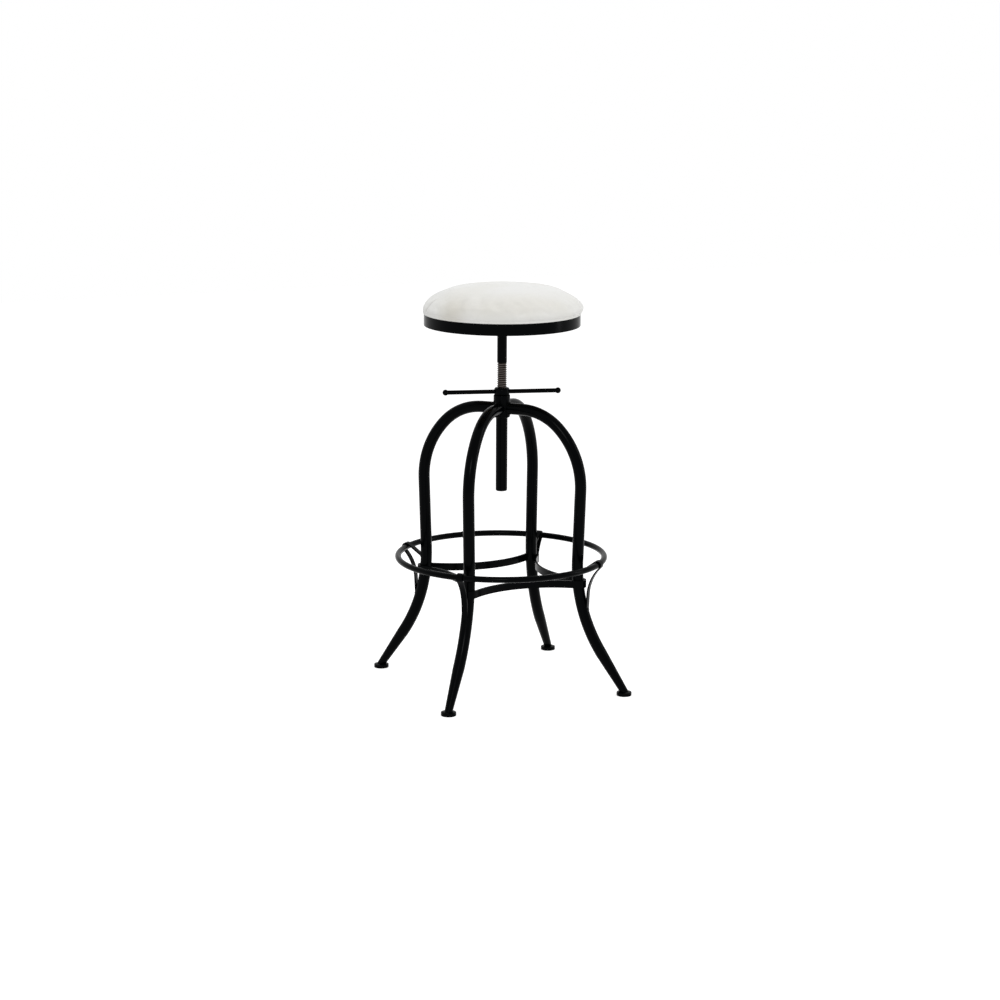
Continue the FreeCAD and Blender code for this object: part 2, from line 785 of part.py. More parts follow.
def make_piping():
    """The thin cord seam that lies on the rim's upper edge, against the cushion."""
    piping = doc.addObject("Part::Torus", "cushion_piping")
    piping.Label = "cushion_piping"
    core = "seat_diameter / 2 - band_wall - board_clearance"
    bind(piping, Radius1=f"{core} + piping_clearance + piping_diameter / 2", Radius2="piping_diameter / 2")
    lift(piping, "band_top + piping_diameter / 2")
    return piping


def cushion_curves(start, side, top):
    """Centres of the cushion's three arcs: the tuck over the rim, the round shoulder and the crown."""
    tuck = ((side.x - start.x) ** 2 + (side.y - start.y) ** 2) / (2 * (side.x - start.x))
    shoulder = value("cushion_shoulder")
    reach, rise = side.x - shoulder, top.y - side.y
    dome = (reach**2 + rise**2 - shoulder**2) / (2 * (rise - shoulder))
    return Vector(side.x - tuck, side.y), Vector(reach, side.y), Vector(0, top.y - dome)


def cushion_outline(sketch):
    """Half of the cushion's section: narrow inside the rim, drawn in over it, round sides, low crown."""
    core = "seat_diameter / 2 - band_wall - board_clearance"
    base, neck = "band_wall + board_thickness", "band_height + piping_diameter"
    widest, level = "seat_diameter / 2 + cushion_overhang", "band_height + cushion_side"
    crown = "band_height + cushion_height"
    foot, low = Vector(0, value(base)), Vector(value(core), value(base))
    start, side = Vector(value(core), value(neck)), Vector(value(widest), value(level))
    top = Vector(0, value(crown))
    tuck, shoulder, dome = cushion_curves(start, side, top)
    meeting = dome + (shoulder - dome).normalize() * (top - dome).Length
    for line in ((top, foot), (foot, low), (low, start)):
        sketch.addGeometry(Part.LineSegment(*line))
    for arc in ((tuck, start, side), (shoulder, side, meeting), (dome, meeting, top)):
        sketch.addGeometry(arc_about(*arc))
    axis_line, under_line, core_line, tuck_arc, shoulder_arc, crown_arc = range(6)
    for first, one, second in (
        (axis_line, END, under_line),
        (under_line, END, core_line),
        (core_line, END, tuck_arc),
        (crown_arc, END, axis_line),
    ):
        sketch.addConstraint(Sketcher.Constraint("Coincident", first, one, second, START))
    for first, second in ((tuck_arc, shoulder_arc), (shoulder_arc, crown_arc)):
        sketch.addConstraint(Sketcher.Constraint("Tangent", first, END, second, START))
    sketch.addConstraint(Sketcher.Constraint("PointOnObject", crown_arc, CENTRE, UP_AXIS))
    sketch.addConstraint(Sketcher.Constraint("Horizontal", shoulder_arc, START, shoulder_arc, CENTRE))
    place_point(sketch, axis_line, START, ON_AXIS, crown)
    place_point(sketch, under_line, START, ON_AXIS, base)
    place_point(sketch, core_line, START, core, base)
    place_point(sketch, tuck_arc, START, core, neck)
    place_point(sketch, shoulder_arc, START, widest, level)
    constrain(sketch, "Radius", shoulder_arc, size="cushion_shoulder")


def make_cushion():
    """The domed, upholstered pad."""
    cushion = new_body("cushion")
    sketch = new_sketch(cushion, "XZ_Plane", "Section")
    cushion_outline(sketch)
    turned(cushion, sketch)
    lift(cushion, "band_bottom")
    return cushion


def make_pieces():
    """Every piece of the stool, from the frame up to the cushion."""
    pieces = [*make_hub(), *make_guard(), make_ring()]
    for index, (corner, side) in enumerate(zip(CORNERS, SIDES)):
        azimuth = LEG_SPACING * (index + 1 / 2)
        pieces += [make_leg(corner, azimuth), make_pad(corner, azimuth), make_bracket(corner, azimuth)]
        pieces.append(make_stretcher(side, LEG_SPACING * index))
    pieces += [make_spindle(), *make_stop(), *make_lock()]
    pieces += [make_plate(), make_board(), make_screws(), make_band(), make_piping(), make_cushion()]
    return pieces


def check(pieces):
    """Stops if any object failed to build or any piece is empty or unsound."""
    for item in doc.Objects:
        faults = {"Invalid", "Error"} & set(item.State)
        if faults:
            raise RuntimeError(f"{item.Label}: {faults}")
    for piece in pieces:
        if piece.Shape.isNull() or not piece.Shape.isValid() or not piece.Shape.Solids:
            raise RuntimeError(f"{piece.Label}: no sound solid")


def main():
    """Builds the stool, checks it and writes one file for each piece."""
    pieces = make_pieces()
    doc.recompute()
    check(pieces)
    os.makedirs("parts", exist_ok=True)
    for piece in pieces:
        piece.Shape.exportStep(f"parts/{piece.Label}.step")
        print(piece.Label, len(piece.Shape.Solids), round(piece.Shape.Volume))


main()
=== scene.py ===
"""The looks of a screw-height bar stool: upholstered seat, threaded spindle, weld beads, finishes, studio.

Lengths are in metres and angles in radians, unless a name ends in _mm or _deg. Upright is +Z, and the
floor is at zero. Azimuths are measured from +X, the stool's right, towards +Y, its back.
"""

import logging
import math
from collections.abc import Iterable, Sequence
from dataclasses import dataclass
from enum import Enum
from functools import cache

import bmesh
import bpy
from mathutils import Matrix, Vector, geometry, noise


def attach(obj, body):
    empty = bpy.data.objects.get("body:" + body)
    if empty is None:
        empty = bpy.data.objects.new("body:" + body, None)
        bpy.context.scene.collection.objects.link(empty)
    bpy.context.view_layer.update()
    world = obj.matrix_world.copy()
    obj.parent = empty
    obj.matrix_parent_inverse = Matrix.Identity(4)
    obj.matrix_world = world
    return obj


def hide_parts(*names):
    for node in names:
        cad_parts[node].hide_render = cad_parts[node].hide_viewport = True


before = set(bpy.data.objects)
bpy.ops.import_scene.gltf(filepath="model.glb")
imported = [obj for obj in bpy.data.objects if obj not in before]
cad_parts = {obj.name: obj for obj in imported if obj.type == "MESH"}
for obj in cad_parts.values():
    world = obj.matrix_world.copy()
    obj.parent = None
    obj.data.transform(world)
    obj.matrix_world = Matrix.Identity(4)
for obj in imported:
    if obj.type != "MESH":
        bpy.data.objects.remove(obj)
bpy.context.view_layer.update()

log = logging.getLogger("bar_stool")

BMesh = bmesh.types.BMesh
BMVert = bmesh.types.BMVert
BMEdge = bmesh.types.BMEdge
Tree = bpy.types.NodeTree
Socket = bpy.types.NodeSocket
Inputs = dict[str | int, object]

MM = 0.001
BURIED = 0.1 * MM
ORIGIN = Vector((0, 0, 0))
RIGHT = Vector((1, 0, 0))
FORWARD = Vector((0, 1, 0))
UP = Vector((0, 0, 1))
FULL_TURN = 2 * math.pi
CORNER_AZIMUTHS = tuple(math.radians(45 + 90 * corner) for corner in range(4))
SIDE_AZIMUTHS = tuple(math.radians(90 * side) for side in range(4))
WAVE_RATE = 20  # How fast a wave texture's bands follow each other at a scale of one.


class Body(Enum):
    """The bodies that the new pieces ride on."""

    FRAME = "frame"
    SEAT = "seat_and_spindle"


class Slot(Enum):
    """The record's material slots, by name."""

    COATED_STEEL = "black_coated_steel"
    THREAD_STEEL = "dark_thread_steel"
    BARE_STEEL = "bare_steel"
    UPHOLSTERY = "white_upholstery"


# --- Shader helpers ---


def linear(colour: str) -> tuple[float, float, float, float]:
    """Turns an sRGB colour into the linear one that a shader takes.

    Args:
        colour: Six hex digits after a hash sign.

    Returns:
        Red, green, blue and a full alpha.
    """
    channels = []
    for at in (1, 3, 5):
        share = int(colour[at : at + 2], 16) / 255
        channels.append(share / 12.92 if share <= 0.04045 else ((share + 0.055) / 1.055) ** 2.4)
    return (*channels, 1.0)


def add_node(tree: Tree, kind: str, inputs: Inputs | None = None, **settings: object) -> bpy.types.Node:
    """Adds one node with its settings, and fills or links its inputs.

    Args:
        tree: The node tree that the node joins.
        kind: The node's type, without its leading ShaderNode.
        inputs: For each input, by name or number, a constant or the socket that feeds it.
        **settings: The node's own properties.

    Returns:
        The new node.
    """
    node = tree.nodes.new(f"ShaderNode{kind}")
    for name, setting in settings.items():
        setattr(node, name, setting)
    for name, given in (inputs or {}).items():
        if isinstance(given, Socket):
            tree.links.new(given, node.inputs[name])
        else:
            node.inputs[name].default_value = given
    return node


def per_metre(size_mm: float) -> float:
    """The texture scale at which one cell of a pattern is this many millimetres wide."""
    return 1000 / size_mm


@dataclass(frozen=True)
class Finish:
    """A surface finish. Its subclasses add the nodes between the coordinates and the shader."""

    name: str

    def dress(self, tree: Tree, place: Socket) -> Inputs:
        """Adds this finish's own nodes.

        Args:
            tree: The material's node tree.
            place: The object coordinates, in metres.

        Returns:
            The surface shader's constants, and the sockets that feed it.
        """
        raise NotImplementedError

    @cache
    def material(self) -> bpy.types.Material:
        """Makes the material, on the first call only.

        Returns:
            The finished material, with one surface shader.
        """
        made = bpy.data.materials.new(self.name)
        made.use_nodes = True
        tree = made.node_tree
        tree.nodes.clear()
        place = add_node(tree, "TexCoord").outputs["Object"]
        shader = add_node(tree, "BsdfPrincipled", self.dress(tree, place))
        add_node(tree, "OutputMaterial", {"Surface": shader.outputs["BSDF"]})
        return made


# --- Finishes ---


@dataclass(frozen=True)
class PowderCoat(Finish):
    """Black powder coat, sprayed and baked on bent steel.

    It gives a deep black with a soft sheen, a faint orange peel, and duller and shinier patches.
    """

    name: str = "black_powder_coated_steel"
    colour: str = "#010203"
    rubbed: str = "#060708"
    peel_mm: float = 1.6
    patch_mm: float = 55
    edge_mm: float = 0.5
    gloss: tuple[float, float] = (0.13, 0.22)
    ior: float = 1.5
    specular: float = 0.03

    def dress(self, tree: Tree, place: Socket) -> Inputs:
        """Adds the colour, the uneven sheen, the orange peel and the coat's rounding over sharp edges.

        Args:
            tree: The material's node tree.
            place: The object coordinates, in metres.

        Returns:
            The surface shader's constants, and the sockets that feed it.
        """
        patches = add_node(
            tree, "TexNoise", {"Vector": place, "Scale": per_metre(self.patch_mm), "Detail": 4.0, "Roughness": 0.6}
        ).outputs["Fac"]
        rub = add_node(
            tree, "MapRange", {"Value": patches, "From Min": 0.58, "From Max": 0.80, "To Max": 0.55}
        ).outputs["Result"]
        colour = add_node(
            tree, "Mix", {0: rub, 6: linear(self.colour), 7: linear(self.rubbed)}, data_type="RGBA"
        ).outputs[2]
        spread = {"From Min": 0.3, "From Max": 0.7, "To Min": self.gloss[0], "To Max": self.gloss[1]}
        rough = add_node(tree, "MapRange", {"Value": patches, **spread}).outputs["Result"]
        peel = add_node(
            tree, "TexNoise", {"Vector": place, "Scale": per_metre(self.peel_mm), "Detail": 1.0}
        ).outputs["Fac"]
        edges = add_node(tree, "Bevel", {"Radius": self.edge_mm * MM}, samples=4).outputs["Normal"]
        bump = add_node(
            tree, "Bump", {"Height": peel, "Strength": 0.06, "Distance": 0.05 * MM, "Normal": edges}
        ).outputs["Normal"]
        sheen = {"Roughness": rough, "IOR": self.ior, "Specular IOR Level": self.specular}
        return {"Base Color": colour, "Normal": bump, **sheen}


@dataclass(frozen=True)
class MachinedSteel(Finish):
    """Bare steel, turned or rolled, with an oily film in patches.

    It gives a metal sheen in fine rings round the upright axis, with browner, duller patches.
    """

    colour: str
    stained: str
    gloss: tuple[float, float]
    ring_mm: float = 0.35
    stain_mm: float = 14

    def dress(self, tree: Tree, place: Socket) -> Inputs:
        """Adds the stains, the sheen and the fine turning marks.

        Args:
            tree: The material's node tree.
            place: The object coordinates, in metres.

        Returns:
            The surface shader's constants, and the sockets that feed it.
        """
        stains = add_node(
            tree, "TexNoise", {"Vector": place, "Scale": per_metre(self.stain_mm), "Detail": 5.0, "Roughness": 0.65}
        ).outputs["Fac"]
        share = add_node(tree, "MapRange", {"Value": stains, "From Min": 0.35, "From Max": 0.68}).outputs["Result"]
        share = self.spread(tree, place, share)
        colour = add_node(
            tree, "Mix", {0: share, 6: linear(self.colour), 7: linear(self.stained)}, data_type="RGBA"
        ).outputs[2]
        rough = add_node(
            tree, "MapRange", {"Value": share, "To Min": self.gloss[0], "To Max": self.gloss[1]}
        ).outputs["Result"]
        flat = add_node(tree, "Mapping", {"Vector": place, "Scale": (0.05, 0.05, 1.0)}).outputs["Vector"]
        rings = add_node(
            tree, "TexNoise", {"Vector": flat, "Scale": per_metre(self.ring_mm), "Detail": 1.0}
        ).outputs["Fac"]
        bump = add_node(tree, "Bump", {"Height": rings, "Strength": 0.25, "Distance": 0.05 * MM}).outputs["Normal"]
        return {"Base Color": colour, "Roughness": rough, "Normal": bump, "Metallic": 1.0}

    def spread(self, tree: Tree, place: Socket, share: Socket) -> Socket:
        """Says what share of stain is used, out of the noise's share; here, all of it."""
        return share


@dataclass(frozen=True)
class OiledThreadPaintedGlints(MachinedSteel):
    """A bare screw thread about the upright axis.

    It paints the crests bright as glints and the roots between them near-black as shade, with patchy oil stains on
    the crests.
    """

    root_mm: float = 9.2
    crest_mm: float = 11.0
    # Painted shade: the share of the way from root to crest below which the thread is painted dark.
    shaded_root_height: float = 0.65
    oil_on_crest: float = 0.52

    def spread(self, tree: Tree, place: Socket, share: Socket) -> Socket:
        """Paints near-black shade into the roots and bright glints onto the crests, and lays a patchy oil stain on
        the crests.

        Args:
            tree: The material's node tree.
            place: The object coordinates, in metres.
            share: The noise's share of stain, from 0 to 1.

        Returns:
            The share of the dark colour: painted shade in the roots, and oil stain on the crests.
        """
        level = add_node(tree, "VectorMath", {0: place, 1: (1.0, 1.0, 0.0)}, operation="MULTIPLY").outputs["Vector"]
        radius = add_node(tree, "VectorMath", {0: level}, operation="LENGTH").outputs["Value"]
        # Painted light: dark shade below this radius, rising to a painted glint at the crest.
        low = self.root_mm + (self.crest_mm - self.root_mm) * self.shaded_root_height
        crest = add_node(
            tree, "MapRange", {"Value": radius, "From Min": low * MM, "From Max": self.crest_mm * MM}
        ).outputs["Result"]
        film = add_node(tree, "Math", {0: share, 1: self.oil_on_crest}, operation="MULTIPLY").outputs["Value"]
        clear = add_node(tree, "Math", {0: 1.0, 1: film}, operation="SUBTRACT").outputs["Value"]
        bright = add_node(tree, "Math", {0: crest, 1: clear}, operation="MULTIPLY").outputs["Value"]
        return add_node(tree, "Math", {0: 1.0, 1: bright}, operation="SUBTRACT").outputs["Value"]


@dataclass(frozen=True)
class DarkerPatch:
    """A soft-edged darker place painted into the colour; its flatness squeezes it in height."""

    place: tuple[float, float, float]
    reach_mm: float
    share: float
    flatness: float = 1.0


@dataclass(frozen=True)
class CoatedLeather(Finish):
    """Off-white coated leather, embossed and stretched over foam.

    It gives a soft, almost even white with a fine pebbled grain and faint warm and cool clouds.
    """

    name: str = "off_white_coated_leather"
    colour: str = "#eeeeec"
    warm: str = "#e3e1d7"
    grain_mm: float = 1.3
    pore_mm: float = 0.45
    pore_share: float = 0.35
    cloud_mm: float = 120
    patch_tint: str = "#d3cfc3"
    # Darker patches: the front-left one paints the shade of a shallow hollow, with a warm tint; the other darkens a
    # broad, flat band across the front.
    patches: tuple[DarkerPatch, ...] = (
        DarkerPatch((-0.158, -0.085, 0.893), reach_mm=62, share=0.70),
        DarkerPatch((-0.048, -0.1545, 0.908), reach_mm=227, share=0.475, flatness=6.0),
    )
    # The crease's painted shade: its colour, and the layer that carries its share.
    crease_shade_colour: str = "#8f897d"
    shade_layer: str = "crease_painted_shade"
    ior: float = 1.46
    sheen: float = 0.08

    def dress(self, tree: Tree, place: Socket) -> Inputs:
        """Adds the clouded colour, the darker patches, the painted shade in the crease, the pebbled grain and its
        pores.

        Args:
            tree: The material's node tree.
            place: The object coordinates, in metres.

        Returns:
            The surface shader's constants, and the sockets that feed it.
        """
        clouds = add_node(
            tree, "TexNoise", {"Vector": place, "Scale": per_metre(self.cloud_mm), "Detail": 2.0, "Roughness": 0.4}
        ).outputs["Fac"]
        share = add_node(
            tree, "MapRange", {"Value": clouds, "From Min": 0.42, "From Max": 0.72, "To Max": 0.4}
        ).outputs["Result"]
        tints = [(share, self.warm)]
        # Paints the darker patches into the colour.
        for patch in self.patches:
            stretch = (1.0, 1.0, patch.flatness)
            centre = tuple(part * factor for part, factor in zip(patch.place, stretch))
            tall = add_node(tree, "VectorMath", {0: place, 1: stretch}, operation="MULTIPLY").outputs["Vector"]
            away = add_node(tree, "VectorMath", {0: tall, 1: centre}, operation="DISTANCE").outputs["Value"]
            share = add_node(
                tree,
                "MapRange",
                {"Value": away, "From Min": patch.reach_mm * MM, "From Max": 0.0, "To Max": patch.share},
                interpolation_type="SMOOTHSTEP",
            ).outputs["Result"]
            tints.append((share, self.patch_tint))
        # Painted shade along the crease.
        tints.append((add_node(tree, "Attribute", attribute_name=self.shade_layer).outputs["Fac"], self.crease_shade_colour))
        colour = linear(self.colour)
        for share, tint in tints:
            colour = add_node(tree, "Mix", {0: share, 6: colour, 7: linear(tint)}, data_type="RGBA").outputs[2]
        pebbles = add_node(
            tree, "TexVoronoi", {"Vector": place, "Scale": per_metre(self.grain_mm)}, feature="DISTANCE_TO_EDGE"
        ).outputs["Distance"]
        raised = add_node(tree, "MapRange", {"Value": pebbles, "From Max": 0.25}).outputs["Result"]
        pores = add_node(
            tree, "TexNoise", {"Vector": place, "Scale": per_metre(self.pore_mm), "Detail": 2.0}
        ).outputs["Fac"]
        relief = {0: pores, 1: self.pore_share, 2: raised}
        height = add_node(tree, "Math", relief, operation="MULTIPLY_ADD").outputs["Value"]
        bump = add_node(tree, "Bump", {"Height": height, "Strength": 0.35, "Distance": 0.12 * MM}).outputs["Normal"]
        rough = add_node(tree, "MapRange", {"Value": raised, "To Min": 0.62, "To Max": 0.48}).outputs["Result"]
        sheen = {"Roughness": rough, "IOR": self.ior, "Sheen Weight": self.sheen}
        return {"Base Color": colour, "Normal": bump, **sheen}


@dataclass(frozen=True)
class Plywood(Finish):
    """Sanded birch plywood, unfinished.

    It gives long pale grain on its faces, and thin light and dark plies round its edge.
    """

    name: str = "sanded_birch_plywood"
    colour: str = "#d8bd8f"
    grain: str = "#b8935f"
    grain_mm: float = 3.2
    ply_mm: float = 1.5
    ply_share: float = 0.25
    rough: float = 0.7

    def dress(self, tree: Tree, place: Socket) -> Inputs:
        """Adds the face's grain, the plies and the fibre relief.

        Args:
            tree: The material's node tree.
            place: The object coordinates, in metres.

        Returns:
            The surface shader's constants, and the sockets that feed it.
        """
        drawn = add_node(tree, "Mapping", {"Vector": place, "Scale": (0.06, 1.0, 1.0)}).outputs["Vector"]
        fibres = add_node(
            tree, "TexNoise", {"Vector": drawn, "Scale": per_metre(self.grain_mm), "Detail": 5.0, "Distortion": 0.4}
        ).outputs["Fac"]
        plies = add_node(
            tree, "TexWave", {"Vector": place, "Scale": per_metre(self.ply_mm) / WAVE_RATE}, bands_direction="Z"
        ).outputs["Fac"]
        laid = {0: plies, 1: self.ply_share, 2: fibres}
        level = add_node(tree, "Math", laid, operation="MULTIPLY_ADD").outputs["Value"]
        share = add_node(tree, "MapRange", {"Value": level, "From Min": 0.40, "From Max": 0.85}).outputs["Result"]
        colour = add_node(
            tree, "Mix", {0: share, 6: linear(self.colour), 7: linear(self.grain)}, data_type="RGBA"
        ).outputs[2]
        bump = add_node(tree, "Bump", {"Height": fibres, "Strength": 0.2, "Distance": 0.1 * MM}).outputs["Normal"]
        return {"Base Color": colour, "Normal": bump, "Roughness": self.rough}


COAT = PowderCoat()
LEATHER = CoatedLeather()
PLYWOOD = Plywood()
# Its stained colour is also the painted shade in the thread's roots; its crests carry painted glints.
THREAD_STEEL = OiledThreadPaintedGlints("oiled_thread_steel_painted_glints", colour="#665f5b", stained="#241e1b", gloss=(0.2, 0.45))
ZINC_STEEL = MachinedSteel("zinc_plated_steel", colour="#b9bcbf", stained="#8f918f", gloss=(0.25, 0.42))

CAD_FINISHES: tuple[tuple[Finish, tuple[str, ...]], ...] = (
    (COAT, ("hub_", "guard_", "leg_", "foot_", "ring_", "stretcher_", "lock_", "seat_band")),
    (ZINC_STEEL, ("thread_bush", "stop_", "mounting_plate")),
    (PLYWOOD, ("seat_board",)),
)


def dress_nodes(nodes: dict[str, bpy.types.Object]) -> None:
    """Gives every CAD node the finish that its name calls for.

    Args:
        nodes: The CAD nodes by name.
    """
    for finish, starts in CAD_FINISHES:
        dressed = [node for name, node in sorted(nodes.items()) if name.startswith(starts)]
        for node in dressed:
            node.data.materials.clear()
            node.data.materials.append(finish.material())
        log.info("%s: %d CAD nodes", finish.name, len(dressed))


# --- Mesh helpers ---


def clean(mesh: BMesh) -> None:
    """Merges what lies together and turns every face outwards."""
    bmesh.ops.remove_doubles(mesh, verts=mesh.verts[:], dist=MM / 1000)
    bmesh.ops.recalc_face_normals(mesh, faces=mesh.faces[:])


def make_piece(
    name: str,
    mesh: BMesh,
    finishes: Sequence[Finish],
    body: Body,
    stands_for: Sequence[str] = (),
) -> bpy.types.Object:
    """Turns a finished bmesh into an object at the origin that rides on a body.

    Args:
        name: The piece's name.
        mesh: The mesh, in place; it is freed.
        finishes: The finishes that its faces number.
        body: What the piece moves with.
        stands_for: The CAD nodes that it replaces.

    Returns:
        The new object.
    """
    data = bpy.data.meshes.new(name)
    mesh.to_mesh(data)
    mesh.free()
    data.shade_smooth()
    for finish in finishes:
        data.materials.append(finish.material())
    piece = bpy.data.objects.new(name, data)
    bpy.context.scene.collection.objects.link(piece)
    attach(piece, body.value)
    if stands_for:
        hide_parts(*stands_for)
    log.info("%s: %d faces on %s", name, len(data.polygons), body.value)
    return piece


def sharpen(piece: bpy.types.Object, angle_deg: float) -> None:
    """Marks the edges where two faces meet at more than an angle, so that smooth shading stops there."""
    piece.data.set_sharp_from_angle(angle=math.radians(angle_deg))


def baked(piece: bpy.types.Object) -> None:
    """Replaces a piece's mesh with its evaluated one, and drops its modifiers.

    Args:
        piece: The piece whose modifiers are made permanent.
    """
    graph = bpy.context.evaluated_depsgraph_get()
    data = bpy.data.meshes.new_from_object(piece.evaluated_get(graph), depsgraph=graph)
    old = piece.data
    piece.modifiers.clear()
    piece.data = data
    data.name = piece.name
    bpy.data.meshes.remove(old)


def only(items: Iterable[object], kind: type) -> list:
    """The items of one kind, such as the edges among an operator's results."""
    return [item for item in items if isinstance(item, kind)]


def outline(mesh: BMesh, points: Sequence[Vector]) -> list[BMVert]:
    """Draws an open line of a few vertices.

    Args:
        mesh: The mesh that gets them.
        points: The corners in order.

    Returns:
        The vertices.
    """
    verts = [mesh.verts.new(point) for point in points]
    for first, second in zip(verts, verts[1:]):
        mesh.edges.new((first, second))
    return verts


def arc_on(mesh: BMesh, start: BMVert, centre: Vector, angle: float, steps: int) -> BMVert:
    """Carries a line on round an arc in the XZ plane.

    Args:
        mesh: The mesh of the line.
        start: The line's last vertex.
        centre: The arc's centre.
        angle: The turn from X towards Z.
        steps: How many edges the arc gets.

    Returns:
        The arc's last vertex.
    """
    spun = bmesh.ops.spin(mesh, geom=[start], cent=centre, axis=-FORWARD, angle=angle, steps=steps)
    return only(spun["geom_last"], BMVert)[0]


def turn_up(mesh: BMesh, steps: int) -> None:
    """Spins a drawn section a full turn round the upright axis, and cleans it.

    Args:
        mesh: A mesh that holds the section only.
        steps: How many faces go round.
    """
    drawn = mesh.verts[:] + mesh.edges[:]
    bmesh.ops.spin(mesh, geom=drawn, cent=ORIGIN, axis=UP, angle=FULL_TURN, steps=steps, use_merge=True)
    clean(mesh)


def sweep(route: Sequence[Vector], radii: Sequence[float], sides: int, closed: bool) -> BMesh:
    """Draws a round section along a route by repeated extrusion.

    Args:
        route: The points that the section's centre passes.
        radii: The section's radius at each point.
        sides: How many faces go round the section.
        closed: Whether the route's ends join.

    Returns:
        A mesh of its own.
    """
    mesh = bmesh.new()
    ahead = [*route[1:], route[0] if closed else route[-1]]
    behind = [route[-1] if closed else route[0], *route[:-1]]
    headings = [(after - before).normalized() for after, before in zip(ahead, behind)]
    turn = headings[0].to_track_quat("Z", "Y")
    poses = []
    for point, radius, heading, last in zip(route, radii, headings, [headings[0], *headings]):
        turn = last.rotation_difference(heading) @ turn
        poses.append(Matrix.Translation(point) @ turn.to_matrix().to_4x4() @ Matrix.Scale(radius, 4))
    bmesh.ops.create_circle(mesh, segments=sides, radius=1.0, cap_ends=not closed, matrix=poses[0])
    first = edges = mesh.edges[:]
    for before, pose in zip(poses, poses[1:]):
        grown = bmesh.ops.extrude_edge_only(mesh, edges=edges)["geom"]
        edges = only(grown, BMEdge)
        bmesh.ops.transform(mesh, matrix=pose @ before.inverted(), verts=only(grown, BMVert))
    if closed:
        bmesh.ops.bridge_loops(mesh, edges=first + edges)
    else:
        bmesh.ops.edgeloop_fill(mesh, edges=edges)
    bmesh.ops.recalc_face_normals(mesh, faces=mesh.faces[:])
    return mesh


def add_copies(mesh: BMesh, part: BMesh, places: Iterable[Matrix]) -> None:
    """Adds a small finished mesh to a larger one, once at each place.

    Args:
        mesh: The larger mesh.
        part: The small mesh; it is freed.
        places: Where its copies go.
    """
    data = bpy.data.meshes.new("copied_part")
    part.to_mesh(data)
    part.free()
    for place in places:
        data.transform(place)
        mesh.from_mesh(data)
        data.transform(place.inverted())
    bpy.data.meshes.remove(data)


def wind(mesh: BMesh, section: Sequence[Vector], turns: int, pitch: float, steps: int) -> None:
    """Winds one pitch of a thread's section upwards.

    Args:
        mesh: A mesh that gets the thread.
        section: The section's corners, from one root to the next.
        turns: How many turns are wound.
        pitch: The rise of a turn.
        steps: How many faces go round in a turn.
    """
    drawn = outline(mesh, section)
    edges = {edge for vert in drawn for edge in vert.link_edges}
    bmesh.ops.spin(
        mesh,
        geom=drawn + list(edges),
        cent=ORIGIN,
        axis=UP,
        dvec=UP * pitch / steps,
        angle=turns * FULL_TURN,
        steps=turns * steps,
    )
    bmesh.ops.remove_doubles(mesh, verts=mesh.verts[:], dist=0.02 * MM)


def circle_at(centre: Vector, radius: float, first: Vector, second: Vector, count: int) -> list[Vector]:
    """Points at even steps round a circle in the plane of two unit vectors, from the first of them."""
    turns = [FULL_TURN * index / count for index in range(count)]
    return [centre + (first * math.cos(turn) + second * math.sin(turn)) * radius for turn in turns]


# --- Seat ---


